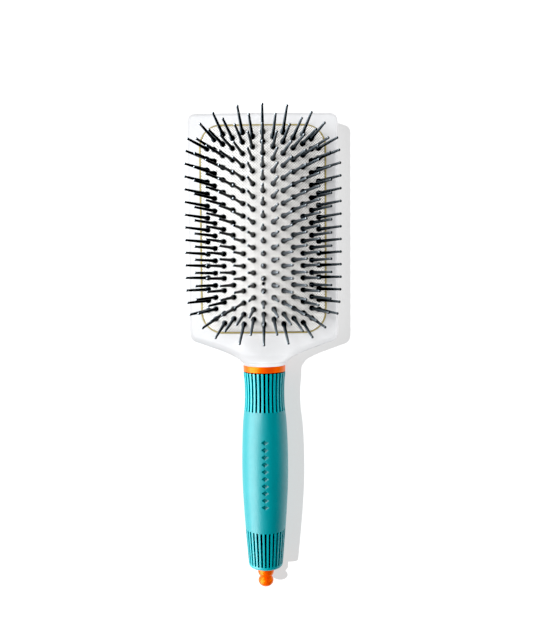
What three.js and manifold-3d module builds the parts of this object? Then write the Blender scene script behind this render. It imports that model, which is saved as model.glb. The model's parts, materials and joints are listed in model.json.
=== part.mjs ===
// A cushioned paddle hair brush with a pull-out sectioning pick in the end of its handle.
// It lies on its flat back: X runs across the brush, Y from the handle to the head, and Z up to the pins.
// Y is 0 at the middle of the whole length, Z is 0 at the back, and all sizes are in millimetres.
import * as THREE from "three";
import { mergeVertices } from "three/addons/utils/BufferGeometryUtils.js";
import Module from "manifold-3d";

// ---- Driving dimensions ----
const GAP = 0.3; // left between pieces that touch on the real brush
const WIDTH = 80; // across the head
const LENGTH = 259; // from the head's tip edge to the end of the pick's knob
const HEAD_THICKNESS = 16;
const TIP_Y = LENGTH / 2;
const AXIS_Z = 12.6; // height of the handle's axis, which is the grip's largest radius

const HEAD = {
  tipCorner: 3.5, // radius of the two corners at the tip
  tipCrown: 0.5, // how far the tip edge bows out
  shoulderY: 12.4, // where the straight sides end
  neckY: -5, // face that the ferrule sits against
  neckRadius: 11.4,
  neckRootY: 9, // where the neck's fairing runs out into the face
  edge: 2.4, // size of the rounded rim
  floor: 5, // thickness under the air chamber
  seat: 13.4, // height of the ledge that the cushion's rim sits on
  seatWidth: 3,
};
const TANG = { radius: 6, length: 32 }; // spigot of the head inside the handle
const CUSHION = { halfWidth: 32.8, halfLength: 54.6, centreY: 67.6, rise: 10.5, corner: 11, skin: 1.8 };
const TRIM = { width: 0.6, height: 1.6 };
const VENT = { y: 38.8, radius: 1 };

const PIN = {
  centreY: 67.4,
  length: 20.4, // from the cushion's surface to the tip
  tail: 3.8, // how far it reaches under the surface, where it is linked to its neighbours
  shankRadius: 0.85,
  footHeight: 1.6,
  neckHeight: 3.2,
  shaftRadius: 0.62,
  tipRadius: 0.5,
  holeRadius: 1.25,
};
// The tails of one group of pins are linked under the rubber.
// A column has one flat rail, and an end row has a bar between each two neighbours.
const RAIL = { width: 3, height: 1.4 };
const BAR = 0.95;
// One entry per column, from the middle outwards: its place across the head, its pins and its reach.
const COLUMNS = [
  { x: 0, pins: 17, reach: 49.8 },
  { x: 5.3, pins: 16, reach: 47.3 },
  { x: 10.5, pins: 17, reach: 49.8 },
  { x: 15.75, pins: 16, reach: 46.9 },
  { x: 20.8, pins: 17, reach: 49.3 },
  { x: 25.4, pins: 16, reach: 47 },
  { x: 29.3, pins: 15, reach: 42.5 },
];
const LAST_ROW_COLUMN = 4; // columns up to this one give their first and last pins to the two end rows

const FERRULE = { front: -5.3, back: -8.6, radius: 11.46 };
const GRIP = {
  front: -9,
  back: -116.4,
  skin: 1.9,
  endHole: 4.8,
  ribs: 30,
  slot: 1.15, // width of the gaps between ribs
  frontSlotEnd: -29.8,
  backSlots: [-95.3, -114.4],
};
// Radius of the grip at places along it, between its two end faces.
const GRIP_RADII = [
  [-9, 11.4],
  [-21, 10.75],
  [-30.2, 11.25],
  [-41, 12.15],
  [-59, 12.6],
  [-76, 12.25],
  [-94.8, 11.1],
  [-114.8, 9.45],
  [-116.4, 8.7],
];
const PICK = {
  rodRadius: 1.5,
  tipRadius: 0.6,
  tipY: -42,
  collarY: -116.8,
  collarRadius: 4.4,
  collarEnd: -120.7,
  waistY: -122.9,
  waistRadius: 3.4,
  ballRadius: 4.15,
  socket: 4.5, // how deep the rod sits in the knob
};
const GUIDE = { length: 15, radius: 4.2 };

// ---- Materials ----
function material(color, roughness) {
  return new THREE.MeshStandardMaterial({ color, roughness, metalness: 0 });
}
const white = material(0xf2f3f4, 0.3);
const rubber = material(0xdedcd8, 0.7);
const gold = material(0xb8a86a, 0.35);
const black = material(0x14161a, 0.35);
const teal = material(0x23a3ab, 0.6);
const orange = material(0xf06a12, 0.25);
const nylon = material(0x2b2d30, 0.45);

// ---- Joining and cutting ----
const wasm = await Module();
wasm.setup();

// A closed geometry as a solid that can be joined and cut.
function solid(geometry, placement = new THREE.Matrix4()) {
  const bare = geometry.clone().applyMatrix4(placement);
  bare.deleteAttribute("normal");
  bare.deleteAttribute("uv");
  const merged = mergeVertices(bare, 1e-4);
  return new wasm.Manifold(
    new wasm.Mesh({
      numProp: 3,
      vertProperties: merged.attributes.position.array,
      triVerts: new Uint32Array(merged.index.array),
    }),
  );
}

function joined(solids) {
  return solids.reduce((whole, next) => whole.add(next));
}

function geometryOf(made) {
  const { vertProperties, triVerts } = made.getMesh();
  const geometry = new THREE.BufferGeometry();
  geometry.setAttribute("position", new THREE.BufferAttribute(vertProperties, 3));
  geometry.setIndex(new THREE.BufferAttribute(triVerts, 1));
  geometry.computeVertexNormals();
  return geometry;
}

// ---- Shapes shared by several pieces ----
function shift(x, y, z) {
  return new THREE.Matrix4().makeTranslation(x, y, z);
}

// A turned piece from [radius, place along the axis] pairs. Its axis is Y through the origin.
function turned(profile, sides, startAngle = 0) {
  const points = profile.map(([radius, along]) => new THREE.Vector2(radius, along));
  return new THREE.LatheGeometry(points, sides, startAngle);
}

// A rectangle with round corners, centred across the brush.
function roundedOutline(halfWidth, halfLength, centreY, corner) {
  const shape = new THREE.Shape();
  const top = centreY + halfLength;
  const bottom = centreY - halfLength;
  shape.moveTo(halfWidth, bottom + corner);
  shape.absarc(halfWidth - corner, top - corner, corner, 0, Math.PI / 2);
  shape.absarc(corner - halfWidth, top - corner, corner, Math.PI / 2, Math.PI);
  shape.absarc(corner - halfWidth, bottom + corner, corner, Math.PI, 1.5 * Math.PI);
  shape.absarc(halfWidth - corner, bottom + corner, corner, 1.5 * Math.PI, 2 * Math.PI);
  return shape;
}

function cushionOutline(margin) {
  const { halfWidth, halfLength, centreY, corner } = CUSHION;
  return roundedOutline(halfWidth + margin, halfLength + margin, centreY, corner + margin);
}

// A flat slab of an outline between two heights.
function slab(shape, low, high, curveSegments = 3) {
  const options = { depth: high - low, bevelEnabled: false, curveSegments };
  return new THREE.ExtrudeGeometry(shape, options).translate(0, 0, low);
}

// Height of the cushion's surface: an arch across the head that rolls off at its two ends.
function cushionHeight(x, y) {
  const across = 1 - (x / CUSHION.halfWidth) ** 2;
  const along = 1 - ((y - CUSHION.centreY) / CUSHION.halfLength) ** 10;
  return HEAD_THICKNESS + CUSHION.rise * Math.max(across, 0) * Math.sqrt(Math.max(along, 0));
}

// ---- Head ----
// Half of the head's outline, from the middle of the tip edge down to the neck.
function halfOutline() {
  const side = WIDTH / 2;
  const { tipCorner, tipCrown, shoulderY, neckY, neckRadius } = HEAD;
  const cornerY = TIP_Y - tipCrown - tipCorner;
  const path = new THREE.Path();
  path.moveTo(0, TIP_Y);
  path.quadraticCurveTo(side / 2, TIP_Y, side - tipCorner, TIP_Y - tipCrown);
  path.absarc(side - tipCorner, cornerY, tipCorner, Math.PI / 2, 0, true);
  path.lineTo(side, shoulderY);
  path.quadraticCurveTo(side, shoulderY - 4.2, side - 4.5, shoulderY - 4.7);
  path.bezierCurveTo(26.5, shoulderY - 8, 13.4, shoulderY - 12.3, neckRadius, neckY);
  return path;
}

function headOutline() {
  const right = halfOutline().getPoints(5);
  const left = right
    .slice(1)
    .reverse()
    .map(({ x, y }) => new THREE.Vector2(-x, y));
  return new THREE.Shape([...left, ...right]);
}

function headShell() {
  const { edge, neckY, neckRadius, neckRootY, floor, seat, seatWidth } = HEAD;
  const paddle = new THREE.ExtrudeGeometry(headOutline(), {
    depth: HEAD_THICKNESS - 2 * edge,
    bevelThickness: edge,
    bevelSize: edge,
    bevelOffset: -edge,
    bevelSegments: 2,
  });
  paddle.translate(0, 0, edge);
  const neck = turned(
    [
      [0, neckY - TANG.length],
      [TANG.radius, neckY - TANG.length],
      [TANG.radius, neckY],
      [neckRadius, neckY],
      [neckRadius - 1.2, neckY + 5],
      [6.5, neckRootY],
      [0, neckRootY],
    ],
    24,
  );
  const recess = slab(cushionOutline(TRIM.width + 2 * GAP), seat, HEAD_THICKNESS + 20);
  const chamber = slab(cushionOutline(-seatWidth), floor, HEAD_THICKNESS);
  return solid(paddle)
    .add(solid(neck, shift(0, 0, AXIS_Z)))
    .subtract(solid(recess))
    .subtract(solid(chamber));
}

function cushionTrim() {
  const ring = cushionOutline(GAP + TRIM.width);
  ring.holes.push(cushionOutline(GAP));
  return slab(ring, HEAD_THICKNESS + GAP - TRIM.height, HEAD_THICKNESS + GAP, 4);
}

// ---- Cushion ----
// A curved sheet of even depth: a grid of top points over a grid of bottom points, closed by four sides.
function archedSheet(xs, ys, topAt, depth) {
  const columns = xs.length;
  const layer = columns * ys.length;
  const positions = [];
  for (const drop of [0, depth]) {
    for (const y of ys) {
      for (const x of xs) positions.push(x, y, topAt(x, y) - drop);
    }
  }
  const index = [];
  const quad = (a, b, c, d) => index.push(a, b, c, a, c, d);
  for (let j = 0; j + 1 < ys.length; j++) {
    const row = j * columns;
    for (let i = row; i + 1 < row + columns; i++) {
      quad(i, i + 1, i + columns + 1, i + columns);
      quad(layer + i, layer + i + columns, layer + i + columns + 1, layer + i + 1);
    }
    const end = row + columns - 1;
    quad(row, row + columns, layer + row + columns, layer + row);
    quad(end, layer + end, layer + end + columns, end + columns);
  }
  const last = layer - columns;
  for (let i = 0; i + 1 < columns; i++) {
    quad(i, layer + i, layer + i + 1, i + 1);
    quad(last + i, last + i + 1, layer + last + i + 1, layer + last + i);
  }
  const geometry = new THREE.BufferGeometry();
  geometry.setAttribute("position", new THREE.Float32BufferAttribute(positions, 3));
  geometry.setIndex(index);
  return geometry;
}

function mirroredSteps(half) {
  return [...half.map((step) => -step).reverse(), ...half];
}

function cushionPad(pins) {
  const { halfWidth, halfLength, centreY, skin } = CUSHION;
  const xs = mirroredSteps([0.23, 0.55, 0.8, 1.03]).map((step) => step * halfWidth);
  const ys = mirroredSteps([0.75, 0.9, 0.97, 1.006, 1.04]).map((step) => centreY + step * halfLength);
  const sheet = solid(archedSheet(xs, ys, cushionHeight, skin));
  const vent = turned([[0, 0], [VENT.radius, 0], [VENT.radius, 40], [0, 40]], 6, Math.PI / 12);
  vent.rotateX(Math.PI / 2);
  const holes = pins.map((pin) => solid(pinHole(), placementOf(pin)));
  return sheet
    .intersect(solid(slab(cushionOutline(0), 0, 40)))
    .subtract(solid(vent, shift(0, VENT.y, 0)))
    .subtract(joined(holes));
}

// ---- Pins ----
// A pin leans outwards, more towards the sides and ends of the cushion. Its foot is on the surface.
function pinAt(x, y) {
  const u = (y - PIN.centreY) / CUSHION.halfLength;
  const leanX = x * (0.0195 - 0.00009 * Math.abs(x)) * (1 - 1.05 * Math.abs(u) ** 7);
  const leanY = (0.025 * u + 0.87 * u ** 7) * (1 - 0.7 * (x / CUSHION.halfWidth) ** 2);
  const direction = new THREE.Vector3(leanX, leanY, Math.sqrt(1 - leanX ** 2 - leanY ** 2));
  return { foot: new THREE.Vector3(x, y, cushionHeight(x, y)), direction };
}

// The pins of one column, evenly spaced but a little closer together at its two ends.
function columnPins({ x, pins, reach }, side) {
  return Array.from({ length: pins }, (_, i) => {
    const t = (2 * i) / (pins - 1) - 1;
    return pinAt(side * x, PIN.centreY + (reach * (t - 0.04 * t ** 7)) / 0.96);
  });
}

// Each pin is also turned about its own length by its own amount, so that no corners of the holes line up.
function placementOf({ foot, direction }) {
  const upright = new THREE.Vector3(0, 1, 0);
  const lean = new THREE.Quaternion().setFromUnitVectors(upright, direction);
  const spin = new THREE.Quaternion().setFromAxisAngle(upright, 0.9 * foot.x + 0.37 * foot.y);
  return new THREE.Matrix4().compose(foot, lean.multiply(spin), new THREE.Vector3(1, 1, 1));
}

function pinBody() {
  const { length, tail, shankRadius, footHeight, neckHeight, shaftRadius, tipRadius } = PIN;
  return turned(
    [
      [0, -tail],
      [shankRadius, -tail],
      [shankRadius, footHeight],
      [shaftRadius, neckHeight],
      [tipRadius, length - 0.4],
      [0, length],
    ],
    4,
  );
}

function pinHole() {
  return turned([[0, -6], [PIN.holeRadius, -6], [PIN.holeRadius, 4], [0, 4]], 4);
}

function tailOf({ foot, direction }) {
  return foot.clone().addScaledVector(direction, -PIN.tail);
}

// A flat strip along the tails of a column of pins, bent down at its two ends as the cushion is.
function railUnder(pins) {
  const tails = pins.map(tailOf);
  const bends = [...tails.slice(0, 3), ...tails.slice(-3)];
  const edge = (offset) => bends.map(({ y, z }) => new THREE.Vector2(y, z + offset));
  const shape = new THREE.Shape([...edge(-RAIL.height / 2), ...edge(RAIL.height / 2).reverse()]);
  const strip = new THREE.ExtrudeGeometry(shape, { depth: RAIL.width, bevelEnabled: false });
  const axes = [new THREE.Vector3(0, 1, 0), new THREE.Vector3(0, 0, 1), new THREE.Vector3(1, 0, 0)];
  strip.applyMatrix4(new THREE.Matrix4().makeBasis(...axes));
  return solid(strip, shift(tails[Math.floor(tails.length / 2)].x - RAIL.width / 2, 0, 0));
}

// A straight bar between the tails of two neighbouring pins.
function barBetween(one, other) {
  const from = tailOf(one);
  const along = tailOf(other).sub(from);
  const upright = new THREE.Vector3(0, 1, 0);
  const turn = new THREE.Quaternion().setFromUnitVectors(upright, along.clone().normalize());
  const middle = from.clone().addScaledVector(along, 0.5);
  const placement = new THREE.Matrix4().compose(middle, turn, new THREE.Vector3(1, 1, 1));
  return solid(new THREE.BoxGeometry(BAR, along.length(), BAR), placement);
}

function barsUnder(pins) {
  return joined(pins.slice(1).map((pin, i) => barBetween(pins[i], pin)));
}

function pinGroup(name, pins) {
  const bodies = pins.map((pin) => solid(pinBody(), placementOf(pin)));
  const link = name.endsWith("_row") ? barsUnder(pins) : railUnder(pins);
  return joined([...bodies, link]);
}

// Every group of pins: the two end rows, and what is left of each column.
function pinGroups() {
  const groups = new Map([
    ["pins_tip_row", []],
    ["pins_neck_row", []],
  ]);
  for (let column = -(COLUMNS.length - 1); column < COLUMNS.length; column++) {
    const rank = Math.abs(column);
    const pins = columnPins(COLUMNS[rank], Math.sign(column));
    if (rank <= LAST_ROW_COLUMN) {
      groups.get("pins_neck_row").push(pins.shift());
      groups.get("pins_tip_row").push(pins.pop());
    }
    const side = column < 0 ? "left" : "right";
    groups.set(rank ? `pins_${side}_${rank}` : "pins_centre", pins);
  }
  return groups;
}

// ---- Handle ----
function ferruleRing() {
  const { front, back, radius } = FERRULE;
  const bore = TANG.radius + GAP;
  const section = [[bore, back], [radius, back], [radius, front], [bore, front], [bore, back]];
  return turned(section, 30);
}

// Radii this far under the grip's surface, along the stretch between its end faces that the core fills.
function underGrip(depth) {
  return GRIP_RADII.slice(1, -1).map(([y, radius]) => [radius - depth, y]);
}

function gripSleeve() {
  const { front, back, skin, endHole, ribs, slot, frontSlotEnd, backSlots } = GRIP;
  const frontBore = GRIP_RADII[0][1] - skin;
  const backBore = GRIP_RADII.at(-2)[1] - skin;
  const bore = underGrip(skin).filter((_, i) => i % 2 === 1);
  const profile = [
    [frontBore, front],
    ...bore,
    [backBore, back + skin],
    [endHole, back + skin],
    [endHole, back],
    ...GRIP_RADII.map(([y, radius]) => [radius, y]).reverse(),
    [frontBore, front],
  ];
  const sleeve = solid(turned(profile, ribs));
  const across = 2 * AXIS_Z + 2;
  const cutter = (from, to) => {
    return new THREE.BoxGeometry(slot, from - to, across).translate(0, (from + to) / 2, 0);
  };
  const cuts = [];
  for (let i = 0; i < ribs / 2; i++) {
    const turn = new THREE.Matrix4().makeRotationY((Math.PI / ribs) * (2 * i + 1));
    cuts.push(solid(cutter(front + 1, frontSlotEnd), turn), solid(cutter(...backSlots), turn));
  }
  return sleeve.subtract(joined(cuts));
}

function handleCore() {
  const { skin, front, back } = GRIP;
  const coreBack = back + skin + GAP;
  const coreFront = FERRULE.back - GAP;
  const tangBore = TANG.radius + GAP;
  const tangEnd = HEAD.neckY - TANG.length - GAP;
  const guideBore = GUIDE.radius + GAP;
  const guideEnd = back + GUIDE.length + GAP;
  const rodBore = PICK.rodRadius + GAP;
  const surface = underGrip(skin + GAP).filter((_, i) => i % 2 === 1);
  return turned(
    [
      [tangBore, coreFront],
      [tangBore, tangEnd],
      [rodBore, tangEnd],
      [rodBore, guideEnd],
      [guideBore, guideEnd],
      [guideBore, coreBack],
      [GRIP_RADII.at(-2)[1] - skin - GAP, coreBack],
      ...surface.reverse(),
      [GRIP_RADII[0][1] - skin - GAP, coreFront],
      [tangBore, coreFront],
    ],
    20,
  );
}

// ---- Pick ----
function pickGuide() {
  const { length, radius } = GUIDE;
  const bore = PICK.rodRadius + GAP / 2;
  const { back } = GRIP;
  const front = back + length;
  const section = [[bore, back], [radius, back], [radius, front], [bore, front], [bore, back]];
  return turned(section, 12);
}

function pickRod() {
  const { rodRadius, tipRadius, tipY, collarY, socket } = PICK;
  const end = collarY - socket;
  const section = [[0, end], [rodRadius, end], [rodRadius, tipY - 25], [tipRadius, tipY - 1], [0, tipY]];
  return turned(section, 10);
}

function pickKnob() {
  const { collarY, collarRadius, collarEnd, waistY, waistRadius, ballRadius, rodRadius, socket } = PICK;
  const ballY = -TIP_Y + ballRadius;
  const socketRadius = rodRadius + GAP;
  const socketEnd = collarY - socket - GAP;
  const from = Math.asin(waistRadius / ballRadius);
  const ball = [];
  for (let step = 0; step <= 5; step++) {
    const angle = Math.PI - ((Math.PI - from) * step) / 5;
    ball.push([ballRadius * Math.sin(angle), ballY + ballRadius * Math.cos(angle)]);
  }
  ball[0][0] = 0;
  return turned(
    [
      ...ball,
      [waistRadius + 0.1, waistY + 0.5],
      [collarRadius, collarEnd],
      [collarRadius, collarY],
      [socketRadius, collarY],
      [socketRadius, socketEnd],
      [0, socketEnd],
    ],
    16,
  );
}

// ---- Assembly ----
const brush = new THREE.Group();
const handle = new THREE.Group();
handle.position.z = AXIS_Z;
brush.add(handle);

function piece(name, geometry, finish, parent = brush) {
  const mesh = new THREE.Mesh(geometry, finish);
  mesh.name = name;
  parent.add(mesh);
}

const groups = pinGroups();
piece("head_shell", geometryOf(headShell()), white);
piece("cushion_trim", cushionTrim(), gold);
piece("cushion_pad", geometryOf(cushionPad([...groups.values()].flat())), rubber);
for (const [name, pins] of groups) piece(name, geometryOf(pinGroup(name, pins)), nylon);
piece("ferrule_ring", ferruleRing(), orange, handle);
piece("handle_core", handleCore(), black, handle);
piece("grip_sleeve", geometryOf(gripSleeve()), teal, handle);
piece("pick_guide", pickGuide(), black, handle);
piece("pick_rod", pickRod(), black, handle);
piece("pick_knob", pickKnob(), orange, handle);

export default brush;
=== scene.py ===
"""Looks of a cushioned paddle hair brush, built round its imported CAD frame.

Frame, in metres: X across the brush, Y from the handle to the head's tip, Z up from the flat back to the
pins. Shapes are written in millimetres and scaled by MM when a mesh is made.
"""
import json
import math

import bmesh
import bpy
import numpy as np
from mathutils import Matrix, Vector


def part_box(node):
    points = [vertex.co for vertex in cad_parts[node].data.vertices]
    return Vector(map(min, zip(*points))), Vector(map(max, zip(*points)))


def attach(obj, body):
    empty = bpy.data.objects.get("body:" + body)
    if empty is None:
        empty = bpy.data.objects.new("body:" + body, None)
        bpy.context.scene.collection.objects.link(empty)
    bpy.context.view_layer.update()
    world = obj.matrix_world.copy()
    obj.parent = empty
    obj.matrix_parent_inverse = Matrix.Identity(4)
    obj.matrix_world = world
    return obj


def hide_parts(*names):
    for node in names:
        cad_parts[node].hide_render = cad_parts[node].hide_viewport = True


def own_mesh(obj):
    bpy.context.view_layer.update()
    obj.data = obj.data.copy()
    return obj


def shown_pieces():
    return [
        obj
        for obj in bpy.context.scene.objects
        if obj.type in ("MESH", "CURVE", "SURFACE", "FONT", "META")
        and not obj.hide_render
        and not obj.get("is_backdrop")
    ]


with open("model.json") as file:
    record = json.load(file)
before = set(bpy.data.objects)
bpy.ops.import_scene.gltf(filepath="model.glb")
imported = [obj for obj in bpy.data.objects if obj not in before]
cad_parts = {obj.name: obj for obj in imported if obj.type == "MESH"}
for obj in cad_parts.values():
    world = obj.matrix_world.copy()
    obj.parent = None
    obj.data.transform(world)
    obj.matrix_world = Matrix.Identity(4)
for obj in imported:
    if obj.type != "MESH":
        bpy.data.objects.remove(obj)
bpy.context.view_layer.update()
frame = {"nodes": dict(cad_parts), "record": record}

MM = 0.001

# ---- Driving sizes, in millimetres, and places taken from the frame ----
FACE_Z = 16.0  # height of the head's flat face
RIM = 2.4  # how far the head's edge drops below the flat face
RIM_RUN = 1.5  # how far in from the edge the flat face ends, in a crease
CREASE = 0.4  # sine of the slope that the edge starts with
SHOULDER_RUN = 3.2  # how far the face slopes down to the edge beside the neck
CORNER = 3.5  # radius of the two corners at the tip
TIP_BOW = 0.5  # how far the tip edge bows out
STRAIGHT_SIDE = 117.1  # from the tip back to the end of the head's straight sides
BEAD_WIDTH = 1.5  # bead at the end of the neck, set off by a fine groove
BEAD_GROOVE = 0.3  # depth of that groove
GROOVE_WIDTH = 0.3
NECK_BLEND = 6.0  # length over which the round neck turns into the head's section
RIDGE_LENGTH = 16.5  # how far the neck's ridge runs out over the face
CUSHION_CORNER = 11.0
CUSHION_SKIN = 1.8
VENT_Y = 38.8
VENT_RADIUS = 1.0
TRIM_GAP = 0.15
TRIM_WIDTH = 0.75
TRIM_PROUD = 0.3  # how far the gold line stands above the face
WEAVE_PITCH = 1.03  # between the ridges of the cushion's crosshatch
PIN_LENGTH = 20.4  # from the rubber's surface to the tip


def span(node):
    """Lowest and highest corner of a CAD node, in millimetres."""
    low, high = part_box(node)
    return np.array(low) / MM, np.array(high) / MM


HEAD_HIGH = span("head_shell")[1]
CUSHION_LOW, CUSHION_HIGH = span("cushion_pad")
RING_LOW, RING_HIGH = span("ferrule_ring")
GRIP_LOW, GRIP_HIGH = span("grip_sleeve")
CORE_LOW, CORE_HIGH = span("handle_core")
KNOB_LOW, KNOB_HIGH = span("pick_knob")
ROD_LOW, ROD_HIGH = span("pick_rod")
GUIDE_LOW, GUIDE_HIGH = span("pick_guide")

TIP_Y = HEAD_HIGH[1]
HEAD_HALF = HEAD_HIGH[0]
AXIS_Z = (RING_LOW[2] + RING_HIGH[2]) / 2
NECK_Y = RING_HIGH[1] + 0.05  # a hair clear of the ring
NECK_RADIUS = RING_HIGH[0] - 0.06
SHOULDER_Y = TIP_Y - STRAIGHT_SIDE
CUSHION_HALF = CUSHION_HIGH[0]
CUSHION_LENGTH = (CUSHION_HIGH[1] - CUSHION_LOW[1]) / 2
CUSHION_Y = (CUSHION_HIGH[1] + CUSHION_LOW[1]) / 2
CUSHION_RISE = CUSHION_HIGH[2] - FACE_Z


# ---- Mesh helpers ----
def smooth_step(t):
    """0 to 1 with a level start and end, as t goes from 0 to 1."""
    t = np.clip(t, 0.0, 1.0)
    return t * t * (3 - 2 * t)


def make_object(name, points, faces, sharp_angle=40):
    """A smooth-shaded object from points in millimetres. Edges sharper than the angle stay sharp."""
    mesh = bpy.data.meshes.new(name)
    mesh.from_pydata([tuple(float(c) * MM for c in p) for p in points], [], faces)
    mesh.validate()
    body = bmesh.new()
    body.from_mesh(mesh)
    bmesh.ops.remove_doubles(body, verts=body.verts, dist=1e-7)
    bmesh.ops.recalc_face_normals(body, faces=body.faces)
    body.to_mesh(mesh)
    body.free()
    obj = bpy.data.objects.new(name, mesh)
    bpy.context.scene.collection.objects.link(obj)
    shade(obj, sharp_angle)
    return obj


def shade(obj, sharp_angle):
    """Smooth shading, with edges over the angle in degrees kept sharp."""
    obj.data.shade_smooth()
    obj.data.set_sharp_from_angle(angle=math.radians(sharp_angle))


def apply_modifiers(obj):
    """Turns the object's modifiers into its mesh."""
    graph = bpy.context.evaluated_depsgraph_get()
    mesh = bpy.data.meshes.new_from_object(obj.evaluated_get(graph))
    obj.modifiers.clear()
    obj.data = mesh


def sheet(name, rows, closed=False, capped=False, sharp_angle=40):
    """A surface through rows of points, all of one length. A closed one joins the ends of each row."""
    count = len(rows[0])
    points = [p for row in rows for p in row]
    faces = []
    last = count if closed else count - 1
    for i in range(len(rows) - 1):
        for j in range(last):
            k = (j + 1) % count
            faces.append((i * count + j, i * count + k, (i + 1) * count + k, (i + 1) * count + j))
    if capped:
        start = (len(rows) - 1) * count
        faces.append(tuple(range(count)))
        faces.append(tuple(range(start, start + count)))
    return make_object(name, points, faces, sharp_angle)


def ring_points(y, radius, sides):
    """Points on a circle round the handle's axis."""
    angles = [2 * math.pi * i / sides for i in range(sides)]
    return [(radius * math.sin(a), y, AXIS_Z + radius * math.cos(a)) for a in angles]


def lathe(name, profile, sides=72, sharp_angle=40):
    """A piece turned round the handle's axis.

    Its profile is (radius, y) pairs that close on themselves or on the axis.
    """
    rows = [ring_points(y, max(radius, 1e-4), sides) for radius, y in profile]
    return sheet(name, rows, closed=True, sharp_angle=sharp_angle)


def rounded(profile, radius, steps=4):
    """The (radius, y) profile with each corner but its ends replaced by a curve of that size."""
    result = [profile[0]]
    for before, corner, after in zip(profile, profile[1:], profile[2:]):
        corner_point = np.array(corner, float)
        to_before = np.array(before, float) - corner_point
        to_after = np.array(after, float) - corner_point
        reach = min(radius, np.linalg.norm(to_before) / 2.05, np.linalg.norm(to_after) / 2.05)
        start = corner_point + to_before / np.linalg.norm(to_before) * reach
        end = corner_point + to_after / np.linalg.norm(to_after) * reach
        for step in range(steps + 1):
            t = step / steps
            result.append(tuple((1 - t) ** 2 * start + 2 * t * (1 - t) * corner_point + t * t * end))
    result.append(profile[-1])
    return result


def cushion_outline(margin, corner_steps=14, side_steps=26, end_steps=14):
    """Points round the cushion's edge moved out by a margin, from the middle of its +X side."""
    half_width = CUSHION_HALF + margin
    half_length = CUSHION_LENGTH + margin
    corner = CUSHION_CORNER + margin
    straight_x = half_width - corner
    straight_y = half_length - corner
    quarter = []
    for i in range(side_steps // 2):
        quarter.append((half_width, straight_y * 2 * i / side_steps))
    for i in range(corner_steps):
        a = math.pi / 2 * i / corner_steps
        quarter.append((straight_x + corner * math.cos(a), straight_y + corner * math.sin(a)))
    for i in range(end_steps // 2):
        quarter.append((straight_x * (1 - 2 * i / end_steps), half_length))
    second = [(-x, y) for x, y in reversed(quarter[1:])]
    top = quarter + [(0.0, half_length)] + second
    bottom = [(-x, -y) for x, y in top]
    return [(x, CUSHION_Y + y) for x, y in top + bottom]


def cushion_height(x, y):
    """Height of the rubber's surface: an arch across the head that rolls off at its two ends."""
    across = np.maximum(1 - (x / CUSHION_HALF) ** 2, 0)
    along = np.maximum(1 - ((y - CUSHION_Y) / CUSHION_LENGTH) ** 10, 0)
    return FACE_Z + CUSHION_RISE * across * np.sqrt(along)


def dress(piece, material, slot, body, *nodes):
    """Gives a new piece its material, and lets it stand for its CAD nodes on their body. The slot
    argument is not used.
    """
    piece.data.materials.clear()
    piece.data.materials.append(material)
    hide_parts(*nodes)
    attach(piece, body)
    return piece


# ---- Materials ----
class Look:
    """A Principled material with helpers that add nodes to it."""

    def __init__(self, name, color, roughness, **settings):
        self.material = bpy.data.materials.new(name)
        self.material.use_nodes = True
        self.tree = self.material.node_tree
        self.shader = self.tree.nodes["Principled BSDF"]
        self.shader.inputs["Base Color"].default_value = (*color, 1)
        self.shader.inputs["Roughness"].default_value = roughness
        for socket, value in settings.items():
            self.shader.inputs[socket.replace("_", " ")].default_value = value
        self.place = self.tree.nodes.new("ShaderNodeTexCoord").outputs["Object"]

    def node(self, kind, inputs=(), **settings):
        made = self.tree.nodes.new(kind)
        for key, value in settings.items():
            setattr(made, key, value)
        for socket, value in dict(inputs).items():
            if isinstance(value, bpy.types.NodeSocket):
                self.tree.links.new(value, made.inputs[socket])
            else:
                made.inputs[socket].default_value = value
        return made

    def math(self, operation, *values):
        """Result of a Math node, whose inputs are numbers or other results."""
        return self.node("ShaderNodeMath", dict(enumerate(values)), operation=operation).outputs[0]

    def axes(self):
        """X, Y and Z of the place on the surface, in millimetres."""
        split = self.node("ShaderNodeSeparateXYZ", {0: self.place})
        return [self.math("DIVIDE", split.outputs[axis], MM) for axis in "XYZ"]

    def noise(self, scale, detail=3.0):
        inputs = {"Vector": self.place, "Scale": scale, "Detail": detail}
        return self.node("ShaderNodeTexNoise", inputs).outputs["Fac"]

    def vary_color(self, factor, low, high):
        """Base colour between two colours as a factor goes from 0.3 to 0.7."""
        ramp = self.node("ShaderNodeValToRGB", {"Fac": factor})
        ramp.color_ramp.elements[0].position = 0.3
        ramp.color_ramp.elements[1].position = 0.7
        ramp.color_ramp.elements[0].color = (*low, 1)
        ramp.color_ramp.elements[1].color = (*high, 1)
        self.tree.links.new(ramp.outputs["Color"], self.shader.inputs["Base Color"])

    def scale_color(self, scale):
        """Multiplies the base colour made so far."""
        color = self.shader.inputs["Base Color"].links[0].from_socket
        scaled = self.node("ShaderNodeVectorMath", {"Vector": color, "Scale": scale}, operation="SCALE")
        self.tree.links.new(scaled.outputs["Vector"], self.shader.inputs["Base Color"])

    def vary_roughness(self, factor, low, high):
        """Roughness between two values as a factor goes from 0.3 to 0.7."""
        inputs = {"Value": factor, "From Min": 0.3, "From Max": 0.7, "To Min": low, "To Max": high}
        spread = self.node("ShaderNodeMapRange", inputs)
        self.tree.links.new(spread.outputs["Result"], self.shader.inputs["Roughness"])

    def bump(self, height, distance_mm, strength=1.0):
        inputs = {"Height": height, "Distance": distance_mm * MM, "Strength": strength}
        bump = self.node("ShaderNodeBump", inputs)
        self.tree.links.new(bump.outputs["Normal"], self.shader.inputs["Normal"])


def head_look():
    look = Look("head_plastic", (0.77, 0.775, 0.79), 0.42)
    look.vary_color(look.noise(35), (0.755, 0.76, 0.775), (0.785, 0.79, 0.805))
    look.vary_roughness(look.noise(160), 0.38, 0.48)
    look.bump(look.noise(2600, detail=2), 0.012)
    return look.material


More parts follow.
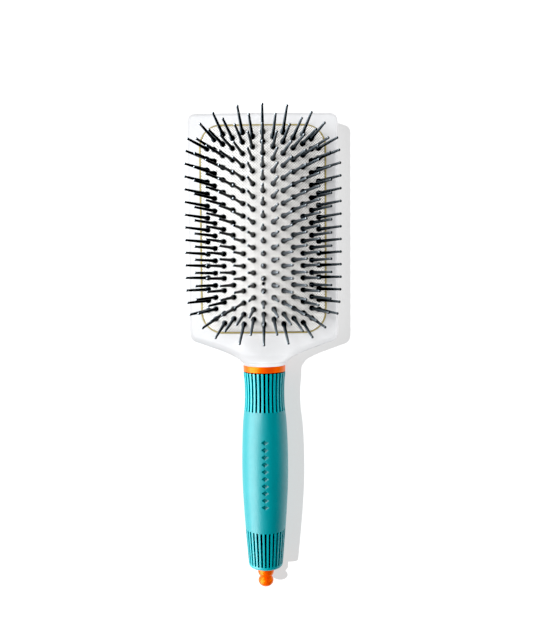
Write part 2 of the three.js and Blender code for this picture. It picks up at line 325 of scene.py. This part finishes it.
def trim_look():
    look = Look("trim_line", (0.42, 0.34, 0.13), 0.35, Metallic=0.35)
    look.vary_color(look.noise(220), (0.36, 0.29, 0.1), (0.5, 0.42, 0.18))
    look.bump(look.noise(3000), 0.01)
    return look.material


def cushion_look():
    """Off-white rubber with a fine raised crosshatch at 45 degrees, whose grooves carry painted shade
    and whose ridges carry a painted highlight.
    """
    look = Look("cushion_rubber", (0.74, 0.73, 0.7), 0.55)
    x, y, _ = look.axes()
    turns = 2 * math.pi / (WEAVE_PITCH * math.sqrt(2))
    waves = []
    for slant in (look.math("ADD", x, y), look.math("SUBTRACT", x, y)):
        waves.append(look.math("SINE", look.math("MULTIPLY", slant, turns)))
    weave = look.math("MAXIMUM", *waves)
    height = look.math("MULTIPLY_ADD", weave, 0.5, 0.5)
    # Painted shade and highlight: the weave's grooves are painted dark and its ridges white, on top of
    # the bump's own shading.
    look.vary_color(height, (0.36, 0.345, 0.32), (1.0, 0.99, 0.97))
    look.vary_roughness(look.noise(90), 0.5, 0.66)
    look.bump(height, 0.09, 0.8)
    return look.material


def nylon_look():
    look = Look("pin_nylon", (0.0038, 0.0043, 0.0047), 0.4, Specular_IOR_Level=0.06)
    look.vary_color(look.noise(300), (0.003, 0.0034, 0.0038), (0.0046, 0.0052, 0.0057))
    look.vary_roughness(look.noise(500), 0.36, 0.44)
    look.bump(look.noise(5000), 0.006)
    return look.material


def accent_look():
    look = Look("accent_plastic", (0.85, 0.085, 0.001), 0.35, IOR=1.9, Specular_IOR_Level=0.8)
    look.shader.inputs["Specular Tint"].default_value = (1.0, 0.55, 0.06, 1)
    look.vary_color(look.noise(120), (0.82, 0.075, 0.001), (0.88, 0.095, 0.002))
    look.vary_roughness(look.noise(400), 0.3, 0.4)
    look.bump(look.noise(1500), 0.008)
    return look.material


def core_look():
    look = Look("core_plastic", (0.001, 0.001, 0.0012), 0.5, Specular_IOR_Level=0.12)
    look.vary_color(look.noise(200), (0.0008, 0.0008, 0.001), (0.0015, 0.0016, 0.002))
    look.bump(look.noise(2500), 0.012)
    return look.material


def lozenge_painted_shade_mask(look, x, y, z):
    """1 in the lozenges on the grip's upper side, 0 elsewhere: where painted shade darkens their
    recesses.
    """
    first, last = DIMPLE_ROWS
    pitch = (first - last) / (DIMPLES - 1)
    row = look.math("WRAP", look.math("SUBTRACT", y, first), pitch / 2, -pitch / 2)
    across = look.math("DIVIDE", look.math("ABSOLUTE", x), DIMPLE_HALF[0])
    along = look.math("DIVIDE", look.math("ABSOLUTE", row), DIMPLE_HALF[1])
    inside = look.math("LESS_THAN", look.math("ADD", across, along), 0.95)
    in_rows = look.math("COMPARE", y, (first + last) / 2, (first - last + pitch) / 2)
    on_top = look.math("GREATER_THAN", z, AXIS_Z)
    return look.math("MULTIPLY", look.math("MULTIPLY", inside, in_rows), on_top)


def grip_look():
    """Soft-touch rubber: a broad pale sheen, a fine grain, ribs painted brighter as a painted highlight
    and lozenges painted darker as painted shade in their recesses.
    """
    look = Look("grip_rubber", (0.0, 0.28, 0.315), 0.42, IOR=1.7, Specular_IOR_Level=0.5)
    look.vary_color(look.noise(60), (0.0, 0.27, 0.305), (0.001, 0.29, 0.325))
    x, y, z = look.axes()
    # Painted highlight: the ribbed ends of the grip are painted brighter than the rest of it.
    front = look.math("MULTIPLY", look.math("GREATER_THAN", y, FRONT_GROOVES[1]), FRONT_RIB_PAINTED_HIGHLIGHT)
    back = look.math("MULTIPLY", look.math("LESS_THAN", y, BACK_GROOVES[0]), BACK_RIB_PAINTED_HIGHLIGHT)
    # Painted shade: the lozenges' recesses are painted darker than the grip.
    pressed = look.math("MULTIPLY", lozenge_painted_shade_mask(look, x, y, z), LOZENGE_PAINTED_SHADE)
    painted_light = look.math("SUBTRACT", look.math("ADD", front, back), pressed)
    look.scale_color(look.math("ADD", painted_light, 1.0))
    look.vary_roughness(look.noise(400), 0.36, 0.44)
    look.bump(look.noise(4200, detail=4), 0.02)
    return look.material


# ---- Head ----
def shoulder_points(steps=24):
    """Half width and y along the outline from the end of the straight side to the neck."""
    side = HEAD_HALF
    bend = [(side, SHOULDER_Y), (side, SHOULDER_Y - 4.6), (side - 4.5, SHOULDER_Y - 5.3)]
    flare = [bend[-1], (26.5, SHOULDER_Y - 8.8), (13.4, SHOULDER_Y - 12.3), (NECK_RADIUS, NECK_Y)]
    points = []
    for i in range(steps):
        t = i / steps
        weights = ((1 - t) ** 2, 2 * t * (1 - t), t * t)
        points.append([sum(w * p[k] for w, p in zip(weights, bend)) for k in (0, 1)])
    for i in range(steps + 1):
        t = i / steps
        weights = ((1 - t) ** 3, 3 * t * (1 - t) ** 2, 3 * t * t * (1 - t), t**3)
        points.append([sum(w * p[k] for w, p in zip(weights, flare)) for k in (0, 1)])
    return np.array(points)


def edge_drop(inward):
    """Share of the rim's drop at a place: 1 on the very edge, 0 at the crease."""
    slope = CREASE + (1 - CREASE) * (1 - inward)
    full = math.sqrt(1 - CREASE**2)
    return (full - np.sqrt(np.clip(1 - slope**2, 0, 1))) / full


def tip_corner(steps=12):
    """x and y along the head's round corner, from the straight side to the tip edge."""
    angles = np.linspace(0, math.pi / 2, steps)
    x = HEAD_HALF - CORNER * (1 - np.cos(angles))
    y = TIP_Y - CORNER + CORNER * np.sin(angles)
    return np.stack([x, y], 1)


def dense_outline(half, step=0.4):
    """Closely spaced points along half of the head's outline and on to the middle of its tip."""
    edge = np.vstack([half, [[0.0, TIP_Y]]])
    dense = []
    for a, b in zip(edge, edge[1:]):
        pieces = max(2, int(np.linalg.norm(b - a) / step))
        dense += [a + (b - a) * k / pieces for k in range(pieces)]
    return np.array(dense + [edge[-1]])


def head_stations():
    """y of each row across the head, closer together at the bead, the bend and the tip's corners."""
    return np.concatenate([
        np.linspace(NECK_Y, NECK_Y + 2.4, 13),
        np.linspace(NECK_Y + 2.8, SHOULDER_Y - 3.9, 30),
        np.linspace(SHOULDER_Y - 3.8, SHOULDER_Y, 9),
        np.linspace(SHOULDER_Y + 1.5, TIP_Y - CORNER - 0.6, 60),
        tip_corner()[:, 1],
    ])


def row_shares():
    """Places across a row, from -1 to 1, with more of them on the rim."""
    spread = np.sin(np.linspace(-math.pi / 2, math.pi / 2, 65))
    rim_marks = np.array([0.94, 0.953, 0.9625, 0.972, 0.981, 0.989, 0.995, 0.9985])
    return np.unique(np.concatenate([spread, rim_marks, -rim_marks]))


def head_row(y, half, dense, across):
    """A closed loop round the head at y: over the top, down the right, back below and up the left."""
    pinch = BEAD_GROOVE * math.exp(-(((y - NECK_Y - BEAD_WIDTH) / GROOVE_WIDTH) ** 2))
    width = float(np.interp(y, half[:, 1], half[:, 0])) - pinch
    x = across * width
    to_edge = np.hypot(dense[:, 0][None, :] - np.abs(x)[:, None], dense[:, 1][None, :] - y).min(axis=1)
    near_shoulder = 1 - smooth_step((y - (SHOULDER_Y - 6)) / 7.0)
    run = RIM_RUN + (SHOULDER_RUN - RIM_RUN) * near_shoulder * smooth_step((y - NECK_Y) / 8.0)
    drop = edge_drop(np.clip(to_edge / run, 0, 1))
    # The flat section of the head, with the ridge that carries the neck on to its face.
    fade = 1 - smooth_step((y - NECK_Y) / RIDGE_LENGTH)
    ridge = (1 - np.clip(np.abs(x) / (14.0 + 0.55 * (y - NECK_Y)), 0, 1) ** 2) ** 2
    face = FACE_Z - RIM * drop + (AXIS_Z + NECK_RADIUS - FACE_Z) * fade * ridge
    back = RIM * drop
    # The round section of the neck, which gives way to the flat one.
    bow = np.sqrt(np.clip(1 - across**2, 0, 1))
    flat = smooth_step((y - NECK_Y) / NECK_BLEND)
    top = (1 - flat) * (AXIS_Z + NECK_RADIUS * bow) + flat * face - pinch
    bottom = (1 - flat) * (AXIS_Z - NECK_RADIUS * bow) + flat * back + pinch
    shift = TIP_BOW * smooth_step((y - (TIP_Y - CORNER) + 20) / 20) * ((x / HEAD_HALF) ** 2)
    wall_steps = (0.25, 0.5, 0.75)
    upper = [(a, y - s, b) for a, s, b in zip(x, shift, top)]
    right = [(x[-1], y - shift[-1], top[-1] + (bottom[-1] - top[-1]) * t) for t in wall_steps]
    lower = [(a, y - s, b) for a, s, b in zip(x[::-1], shift[::-1], bottom[::-1])]
    left = [(x[0], y - shift[0], bottom[0] + (top[0] - bottom[0]) * t) for t in wall_steps]
    return upper + right + lower + left


def loop_solid(name, outline, low, high):
    """An upright solid of an outline, used to cut with."""
    rows = [[(x, y, z) for x, y in outline] for z in (low, high)]
    return sheet(name, rows, closed=True, capped=True)


def cut(obj, cutters):
    """Takes the cutters out of the object and deletes them."""
    for cutter in cutters:
        knife = obj.modifiers.new("cut", "BOOLEAN")
        knife.object = cutter
        knife.operation = "DIFFERENCE"
        knife.solver = "EXACT"
    apply_modifiers(obj)
    for cutter in cutters:
        bpy.data.objects.remove(cutter)


def build_head():
    """The head and its neck in one surface, with the cushion's seat and the air chamber cut out."""
    half = np.vstack([shoulder_points()[::-1], tip_corner()])
    dense = dense_outline(half)
    across = row_shares()
    rows = [head_row(y, half, dense, across) for y in head_stations()]
    head = sheet("head_body", rows, closed=True, capped=True, sharp_angle=38)
    seat = loop_solid("seat", cushion_outline(TRIM_WIDTH + 0.25), FACE_Z - 2.6, FACE_Z + 4)
    chamber = loop_solid("chamber", cushion_outline(-3.0), 5.0, FACE_Z)
    cut(head, [seat, chamber])
    shade(head, 38)
    return dress(head, head_look(), "head_plastic", "brush", "head_shell")


def build_trim():
    """The gold line: a closed section, of (distance out from the cushion's edge, height) pairs."""
    inner, outer = TRIM_GAP, TRIM_GAP + TRIM_WIDTH
    top = FACE_Z + TRIM_PROUD
    foot = FACE_Z - 1.5
    section = [(inner, foot), (inner, top - 0.2), (inner + 0.1, top - 0.06), (inner + 0.25, top)]
    section += [(outer - 0.25, top), (outer - 0.1, top - 0.06), (outer, top - 0.2), (outer, foot)]
    rows = [[(x, y, z) for x, y in cushion_outline(out)] for out, z in section + section[:1]]
    trim = sheet("cushion_gold_line", rows, closed=True, sharp_angle=50)
    return dress(trim, trim_look(), "trim_line", "brush", "cushion_trim")


# ---- Cushion ----
def build_cushion():
    """A rubber skin that rises from its clamped edge, as loops from the edge in to the vent hole."""
    outline = np.array(cushion_outline(0.0))
    vent = np.array([0.0, VENT_Y])
    angles = np.arctan2(outline[:, 0] - vent[0], outline[:, 1] - vent[1])
    hole = vent + VENT_RADIUS * np.stack([np.sin(angles), np.cos(angles)], 1)
    shares = [1.0, 0.997, 0.993, 0.987, 0.979, 0.969, 0.957, 0.943, 0.926, 0.906, 0.883]
    shares += list(np.linspace(0.857, 0.06, 30)) + [0.04, 0.025, 0.014, 0.007, 0.003, 0.0]
    rows = []
    for share in shares:
        flat = hole + (outline - hole) * share
        rows.append([(x, y, float(cushion_height(x, y))) for x, y in flat])
    skin = sheet("cushion_skin", rows, closed=True, sharp_angle=60)
    thick = skin.modifiers.new("thickness", "SOLIDIFY")
    thick.thickness = CUSHION_SKIN * MM
    thick.offset = -1
    apply_modifiers(skin)
    shade(skin, 60)
    dress(skin, cushion_look(), "cushion_rubber", "brush", "cushion_pad")
    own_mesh(skin)
    return skin


# ---- Pins ----
# Radius and height of the foot and the shaft of a pin, from under the rubber up to the ball.
PIN_PROFILE = [
    (0.0, -1.6), (1.2, -1.6), (1.38, -0.6), (1.44, 0.1), (1.45, 0.6), (1.4, 1.1), (1.28, 1.5),
    (1.12, 1.85), (1.0, 2.3), (0.92, 2.9), (0.87, 3.6), (0.78, 8.0), (0.66, 15.0), (0.58, 18.8),
]
BALL_RADIUS = 0.7


def pins_in(node):
    """Tip and direction of each pin of a CAD node.

    A pin's tip is a corner that all its neighbours are below, with a long shaft under them.
    """
    body = bmesh.new()
    body.from_mesh(frame["nodes"][node].data)
    bmesh.ops.remove_doubles(body, verts=body.verts, dist=1e-6)
    body.verts.index_update()
    found = []
    for corner in body.verts:
        ring = {edge.other_vert(corner) for edge in corner.link_edges}
        below = {edge.other_vert(v) for v in ring for edge in v.link_edges} - ring - {corner}
        shaft = min((corner.co - v.co).length for v in below)
        if shaft < PIN_LENGTH / 2 * MM or any(v.co.z > corner.co.z for v in ring):
            continue
        in_order = sorted(below, key=lambda v: v.index)
        middle = sum((v.co for v in in_order), Vector()) / len(in_order)
        found.append((corner.co / MM, (corner.co - middle).normalized()))
    body.free()
    return found


def pin_profile():
    """PIN_PROFILE with the ball added on top."""
    ball = PIN_LENGTH - BALL_RADIUS
    start = math.pi - math.asin(PIN_PROFILE[-1][0] / BALL_RADIUS)
    arc = [start * (1 - i / 7) for i in range(8)]
    return PIN_PROFILE + [(BALL_RADIUS * math.sin(a), ball + BALL_RADIUS * math.cos(a)) for a in arc]


def build_pins(node, body, material, sides=14):
    """All the pins of a CAD node as one piece, each turned from the pin's profile."""
    profile = [(max(radius, 1e-3), height) for radius, height in pin_profile()]
    points = []
    faces = []
    for tip, direction in pins_in(node):
        turn = direction.to_track_quat("Z", "Y").to_matrix()
        foot = tip - direction * PIN_LENGTH
        start = len(points)
        for radius, height in profile:
            for k in range(sides):
                a = 2 * math.pi * k / sides
                local = Vector((radius * math.cos(a), radius * math.sin(a), height))
                points.append(foot + turn @ local)
        for i in range(len(profile) - 1):
            row = start + i * sides
            for k in range(sides):
                n = (k + 1) % sides
                faces.append((row + k, row + n, row + sides + n, row + sides + k))
        faces.append(tuple(range(start, start + sides))[::-1])
        top = start + (len(profile) - 1) * sides
        faces.append(tuple(range(top, top + sides)))
    pins = make_object(node + "_nylon", points, faces, 50)
    return dress(pins, material, "pin_nylon", body, node)


# ---- Handle ----
# y and radius of the grip at places along it, from the ring back to the knob.
GRIP_SHAPE = [
    (-9.0, 11.42), (-10.5, 11.32), (-13.9, 10.96), (-17.5, 10.8), (-20.6, 10.76), (-23.9, 10.8),
    (-27.2, 10.95), (-30.5, 11.28), (-33.8, 11.66), (-40.5, 12.13), (-47.2, 12.4), (-57.3, 12.6),
    (-67.4, 12.55), (-74.1, 12.35), (-80.9, 11.99), (-87.7, 11.59), (-94.5, 11.09), (-101.3, 10.56),
    (-108.1, 10.0), (-114.8, 9.45), (-116.4, 9.3),
]
FRONT_GROOVES = (-8.0, -29.8)  # y where the front grooves start, before the grip's end, and stop
BACK_GROOVES = (-95.3, -114.5)
RIBS = 30
RIB_PERIOD = 2 * math.pi / RIBS
SLOT = math.radians(3.0)  # half the angle of the gap between two ribs
FRONT_RIB_PAINTED_HIGHLIGHT = 0.55  # painted highlight: how much brighter than the grip the front ribs are painted
# painted highlight on the back ribs, weaker than on the front ones
BACK_RIB_PAINTED_HIGHLIGHT = 0.25
GRIP_SKIN = 0.9  # thickness of the sleeve
GRIP_BORE = 4.8  # radius of the hole in the grip's back end
CORE_GAP = 0.06  # between the sleeve and the core under it
CORE_BORE = 6.3
PICK_BORE = 4.6  # radius of the core's opening for the pick's collar
DIMPLES = 10  # lozenges pressed into the grip, in one row
DIMPLE_DEPTH = 0.55
DIMPLE_HALF = (2.0, 1.35)  # half width across the grip and half length along it
DIMPLE_ROWS = (-45.5, -80.5)  # y of the first and the last lozenge
LOZENGE_PAINTED_SHADE = 0.5  # painted shade: how much darker than the grip the lozenges' recesses are painted


def smooth_interpolation(x, xs, values):
    """A smooth curve through points: cubic pieces whose slopes come from each point's neighbours."""
    slopes = np.gradient(values, xs)
    i = int(np.clip(np.searchsorted(xs, x) - 1, 0, len(xs) - 2))
    step = xs[i + 1] - xs[i]
    t = (x - xs[i]) / step
    return float(
        (2 * t**3 - 3 * t**2 + 1) * values[i]
        + (t**3 - 2 * t**2 + t) * step * slopes[i]
        + (3 * t**2 - 2 * t**3) * values[i + 1]
        + (t**3 - t**2) * step * slopes[i + 1]
    )


def grip_radius(y):
    ys, radii = zip(*sorted(GRIP_SHAPE))
    return smooth_interpolation(y, np.array(ys), np.array(radii))


def dimple(x, y):
    """Depth of the row of lozenges at a place on the grip's upper side."""
    first, last = DIMPLE_ROWS
    pitch = (last - first) / (DIMPLES - 1)
    nearest = first + pitch * round(min(max((y - first) / pitch, 0), DIMPLES - 1))
    inside = 1 - abs(x) / DIMPLE_HALF[0] - abs(y - nearest) / DIMPLE_HALF[1]
    return DIMPLE_DEPTH * float(smooth_step(inside / 0.35))


def grip_angles():
    """Angles round the grip: the edges of ribs and gaps, and a finer fan over the lozenges."""
    angles = []
    for i in range(RIBS):
        centre = RIB_PERIOD * i
        angles += [centre + SLOT * k for k in (-1, 0, 1)]
        rib = RIB_PERIOD - 2 * SLOT
        angles += [centre + SLOT + rib * k / 5 for k in range(1, 5)]
    fine = np.radians(np.arange(-14, 14.01, 0.8))
    wrapped = [(a + math.pi) % (2 * math.pi) - math.pi for a in angles]
    keep = [a for a in wrapped if min(abs(a - f) for f in fine) > math.radians(0.25)]
    return sorted(keep + list(fine))


def grip_rings():
    """y and radius of each ring of the grip, with its two ends rounded off."""
    front, back = GRIP_HIGH[1], GRIP_LOW[1]
    stations = [front, front - 0.12, front - 0.4]
    stations += list(np.linspace(front - 1.2, FRONT_GROOVES[1], 16))
    stations += list(np.linspace(FRONT_GROOVES[1] - 1.0, DIMPLE_ROWS[0] + 2, 9))
    stations += list(np.linspace(DIMPLE_ROWS[0] + 1.6, DIMPLE_ROWS[1] - 1.6, 118))
    stations += list(np.linspace(DIMPLE_ROWS[1] - 2, BACK_GROOVES[0] + 1.0, 9))
    stations += list(np.linspace(BACK_GROOVES[0], BACK_GROOVES[1], 14))
    stations += [BACK_GROOVES[1] - 0.5, back + 0.9, back + 0.45, back + 0.15, back]
    rounding = [0.12, 0.03] + [0.0] * (len(stations) - 5) + [0.1, 0.35, 0.9]
    return [(y, grip_radius(y) - less) for y, less in zip(stations, rounding)]


def in_gap(angle):
    """Whether an angle round the grip is in the gap between two ribs."""
    return abs((angle + RIB_PERIOD / 2) % RIB_PERIOD - RIB_PERIOD / 2) < SLOT * 0.999


def grip_point(y, radius, angle, lozenge_fan=0.25):
    """A point on the grip, pressed in where it is in a lozenge."""
    deep = dimple(radius * math.sin(angle), y) if abs(angle) < lozenge_fan else 0.0
    return ((radius - deep) * math.sin(angle), y, AXIS_Z + (radius - deep) * math.cos(angle))


def build_sleeve():
    """The soft grip: a thin skin with its gaps left open, and a back end with a round hole."""
    angles = grip_angles()
    rings = grip_rings()
    count = len(angles)
    points = [grip_point(y, radius, angle) for y, radius in rings for angle in angles]
    faces = []
    for i in range(len(rings) - 1):
        middle_y = (rings[i][0] + rings[i + 1][0]) / 2
        grooved = FRONT_GROOVES[1] < middle_y or BACK_GROOVES[1] < middle_y < BACK_GROOVES[0]
        for j in range(count):
            k = (j + 1) % count
            next_angle = angles[k] + (2 * math.pi if k == 0 else 0)
            if grooved and in_gap((angles[j] + next_angle) / 2):
                continue
            faces.append((i * count + j, i * count + k, (i + 1) * count + k, (i + 1) * count + j))
    last_ring = (len(rings) - 1) * count
    end_radii = (8.2, 6.6, GRIP_BORE)
    for radius in end_radii:
        back = rings[-1][0]
        points += [(radius * math.sin(a), back, AXIS_Z + radius * math.cos(a)) for a in angles]
    for i in range(len(end_radii)):
        ring = last_ring + i * count
        for j in range(count):
            k = (j + 1) % count
            faces.append((ring + j, ring + k, ring + count + k, ring + count + j))
    sleeve = make_object("grip_rubber_sleeve", points, faces, 35)
    thick = sleeve.modifiers.new("thickness", "SOLIDIFY")
    thick.thickness = GRIP_SKIN * MM
    thick.offset = -1
    apply_modifiers(sleeve)
    bevel = sleeve.modifiers.new("soft_edges", "BEVEL")
    bevel.width = 0.16 * MM
    bevel.segments = 2
    bevel.limit_method = "ANGLE"
    bevel.angle_limit = math.radians(50)
    apply_modifiers(sleeve)
    shade(sleeve, 40)
    return dress(sleeve, grip_look(), "grip_rubber", "brush", "grip_sleeve")


def build_core(material):
    """The core under the sleeve, bored through for the spigot, the bush and the pick."""
    front, back = CORE_HIGH[1], CORE_LOW[1]
    depth = GRIP_SKIN + CORE_GAP
    widest_y = GRIP_SHAPE[0][0]
    places = np.linspace(front - 0.6, back + 0.4, 40)
    outer = [(grip_radius(min(y, widest_y)) - depth, y) for y in places]
    step = back + 14
    inner = [(PICK_BORE, back), (PICK_BORE, step), (CORE_BORE, step), (CORE_BORE, front)]
    core = lathe("handle_black_core", [(CORE_BORE, front), *outer, *inner], sides=90)
    return dress(core, material, "core_plastic", "brush", "handle_core")


def build_ring(material):
    front, back = RING_HIGH[1] + 0.12, RING_LOW[1] - 0.12
    radius, bore = RING_HIGH[0], CORE_BORE
    section = [(bore, back), (radius - 0.02, back), (radius + 0.02, front), (bore, front)]
    ring = lathe("neck_orange_ring", rounded(section, 0.45, 5) + [section[0]], sides=96)
    return dress(ring, material, "accent_plastic", "brush", "ferrule_ring")


def build_guide(material):
    front, back = GUIDE_HIGH[1], GUIDE_LOW[1]
    bore, radius = 1.65, GUIDE_HIGH[0]
    section = [(bore, front), (bore, back), (radius, back), (radius, front), (bore, front)]
    guide = lathe("pick_guide_bush", rounded(section, 0.3, 3), sides=48)
    return dress(guide, material, "core_plastic", "brush", "pick_guide")


def build_rod(material):
    radius = 1.5
    tip, end = ROD_HIGH[1], ROD_LOW[1]
    section = [(0.0, end), (radius, end), (radius, tip - 25)]
    section += [(0.62, tip - 1.2), (0.5, tip - 0.4), (0.0, tip)]
    rod = lathe("pick_slim_rod", rounded(section, 0.3, 3), sides=40, sharp_angle=50)
    return dress(rod, material, "core_plastic", "pick", "pick_rod")


def build_knob(material):
    collar_y, end_y = KNOB_HIGH[1], KNOB_LOW[1]
    ball, waist = 4.15, 3.1
    ball_length = 3.3  # half of the knob's ball along the handle, which is a little flattened
    ball_y = end_y + 4.3
    waist_y = collar_y - 6.1
    start = math.asin((waist + 0.15) / ball)
    arc = [math.pi - (math.pi - start) * i / 18 for i in range(19)]
    sphere = [(ball * math.sin(a), ball_y + ball_length * math.cos(a)) for a in arc]
    socket, socket_end = 1.8, collar_y - 4.8  # the hole that the rod sits in
    collar = [(waist, waist_y), (3.55, waist_y + 0.7), (4.1, waist_y + 1.5), (4.38, collar_y - 3.6)]
    collar += [(4.45, collar_y - 1.2), (4.4, collar_y)]
    collar += [(socket, collar_y), (socket, socket_end), (0.0, socket_end)]
    knob = lathe("pick_ball_knob", sphere + rounded(collar, 0.4, 4), sides=72)
    return dress(knob, material, "accent_plastic", "pick", "pick_knob")


# ---- Studio ----
CAMERA_PLACE = (1.35, 38.4, 365.5)
CAMERA_TILT = math.radians(3.0)
CAMERA_ROLL = math.radians(0.437)
WHITE = (1, 1, 1)
SKY = 0.2
FLOOR_GLOW = 0.6
FLOOR_HALF = 2500
FLOOR_Z = -0.02
SUN_PLACE = (-0.6, 0.2, 1.0)
MIDDLE = (0.0, 0.0, 0.0)  # what the lamps point at
BLACK_LEVEL = 0.018
HANDLE_NAMES = ("grip_", "handle_", "neck_", "pick_")
ACCENT_NAMES = ("neck_orange_ring", "pick_ball_knob")


def add_camera():
    data = bpy.data.cameras.new("camera")
    data.sensor_width = 36.0
    data.lens = 36.77
    data.clip_start = 0.01
    data.clip_end = 10.0
    camera = bpy.data.objects.new("camera", data)
    bpy.context.scene.collection.objects.link(camera)
    right = Vector((1, 0, 0))
    up = Vector((0, math.cos(CAMERA_TILT), -math.sin(CAMERA_TILT)))
    rolled_up = up * math.cos(CAMERA_ROLL) + right * math.sin(CAMERA_ROLL)
    rolled_right = right * math.cos(CAMERA_ROLL) - up * math.sin(CAMERA_ROLL)
    back = rolled_right.cross(rolled_up)
    turn = Matrix((rolled_right, rolled_up, back)).transposed()
    camera.matrix_world = Matrix.Translation(Vector(CAMERA_PLACE) * MM) @ turn.to_4x4()
    bpy.context.scene.camera = camera


def add_light(name, kind, place, energy, color=WHITE, **settings):
    data = bpy.data.lights.new(name, kind)
    data.energy = energy
    data.color = color
    for key, value in settings.items():
        setattr(data, key, value)
    lamp = bpy.data.objects.new(name, data)
    bpy.context.scene.collection.objects.link(lamp)
    lamp.location = place
    lamp.rotation_euler = (Vector(MIDDLE) - Vector(place)).to_track_quat("-Z", "Y").to_euler()
    return lamp


def collection_of(name, members):
    made = bpy.data.collections.new(name)
    for member in members:
        made.objects.link(member)
    return made


def add_floor():
    look = Look("floor_white", (0.4, 0.4, 0.4), 0.9, Specular_IOR_Level=0.1)
    look.shader.inputs["Emission Color"].default_value = (*WHITE, 1)
    look.shader.inputs["Emission Strength"].default_value = FLOOR_GLOW
    ends = (-FLOOR_HALF, FLOOR_HALF)
    floor = sheet("floor", [[(x, y, FLOOR_Z) for x in ends] for y in ends])
    floor.data.materials.append(look.material)
    floor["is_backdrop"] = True
    return floor


def add_sky():
    world = bpy.data.worlds.new("studio")
    world.use_nodes = True
    background = world.node_tree.nodes["Background"]
    background.inputs["Color"].default_value = (*WHITE, 1)
    background.inputs["Strength"].default_value = SKY
    bpy.context.scene.world = world


def add_softboxes(head, pins, handle):
    """Lamps that light one group of pieces each, so that each group has its own highlights."""
    on_head = collection_of("lit_as_head", head)
    on_pins = collection_of("lit_as_pins", pins)
    on_handle = collection_of("lit_as_handle", handle)
    on_cushion = collection_of("lit_as_cushion", [p for p in head if p.name.startswith("cushion_skin")])
    on_grip = collection_of("lit_as_grip", [p for p in handle if p.name.startswith("grip_")])
    on_accents = collection_of("lit_as_accents", [p for p in handle if p.name in ACCENT_NAMES])
    # Each softbox: what it lights, its place, its width and height in metres, its watts and colour.
    softboxes = [
        ("head_high_left", on_head, (-0.3, 0.1, 0.75), (0.5, 0.5), 6.6, WHITE),
        ("head_low_right", on_head, (0.6, 0.0, 0.25), (0.6, 0.4), 1.9, WHITE),
        ("cushion_high_left", on_cushion, (-0.3, 0.1, 0.75), (0.5, 0.5), 1.6, WHITE),
        ("pins_upper_left", on_pins, (-0.5, 0.2, 0.14), (0.6, 0.25), 380.0, (0.88, 0.95, 1.0)),
        ("handle_low_left", on_handle, (-0.5, -0.02, 0.22), (1.3, 0.55), 10.5, WHITE),
        ("grip_low_right", on_grip, (0.6, 0.0, 0.25), (0.6, 0.4), 0.9, (0.0, 0.9, 1.0)),
        ("accent_low_right", on_accents, (0.6, 0.0, 0.25), (0.6, 0.4), 1.7, (1.0, 0.35, 0.05)),
    ]
    for name, receivers, place, (width, height), watts, color in softboxes:
        shape = {"shape": "RECTANGLE", "size": width, "size_y": height}
        lamp = add_light(name, "AREA", place, watts, color, **shape)
        lamp.light_linking.receiver_collection = receivers
    handle_sun = add_light("handle_sun", "SUN", SUN_PLACE, 1.0, angle=math.radians(9))
    handle_sun.light_linking.receiver_collection = on_handle


def set_view():
    """Plain colours, with the darkest few values taken down to black."""
    view = bpy.context.scene.view_settings
    view.view_transform = "Standard"
    view.look = "None"
    view.use_curve_mapping = True
    view.curve_mapping.black_level = (BLACK_LEVEL,) * 3
    view.curve_mapping.update()


def add_studio():
    floor = add_floor()
    add_sky()
    handle = [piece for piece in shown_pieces() if piece.name.startswith(HANDLE_NAMES)]
    pins = [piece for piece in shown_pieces() if piece.name.startswith("pins_")]
    head = [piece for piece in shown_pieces() if piece not in handle + pins]
    add_softboxes(head, pins, handle)
    # The sharp shadow on the floor, which the pins don't cast.
    shadow_sun = add_light("shadow_sun", "SUN", SUN_PLACE, 4.4, angle=math.radians(0.8))
    shadow_sun.light_linking.receiver_collection = collection_of("lit_floor", [floor])
    shadow_sun.light_linking.blocker_collection = collection_of("floor_shadow", head + handle)
    set_view()


# ---- Build ----
build_head()
build_trim()
build_cushion()
nylon = nylon_look()
core_plastic = core_look()
accent_plastic = accent_look()
for body_name, members in frame["record"]["behaviour"]["bodies"].items():
    for member in members:
        if member.startswith("pins_"):
            build_pins(member, body_name, nylon)
build_sleeve()
build_core(core_plastic)
build_ring(accent_plastic)
build_guide(core_plastic)
build_rod(core_plastic)
build_knob(accent_plastic)
add_camera()
add_studio()
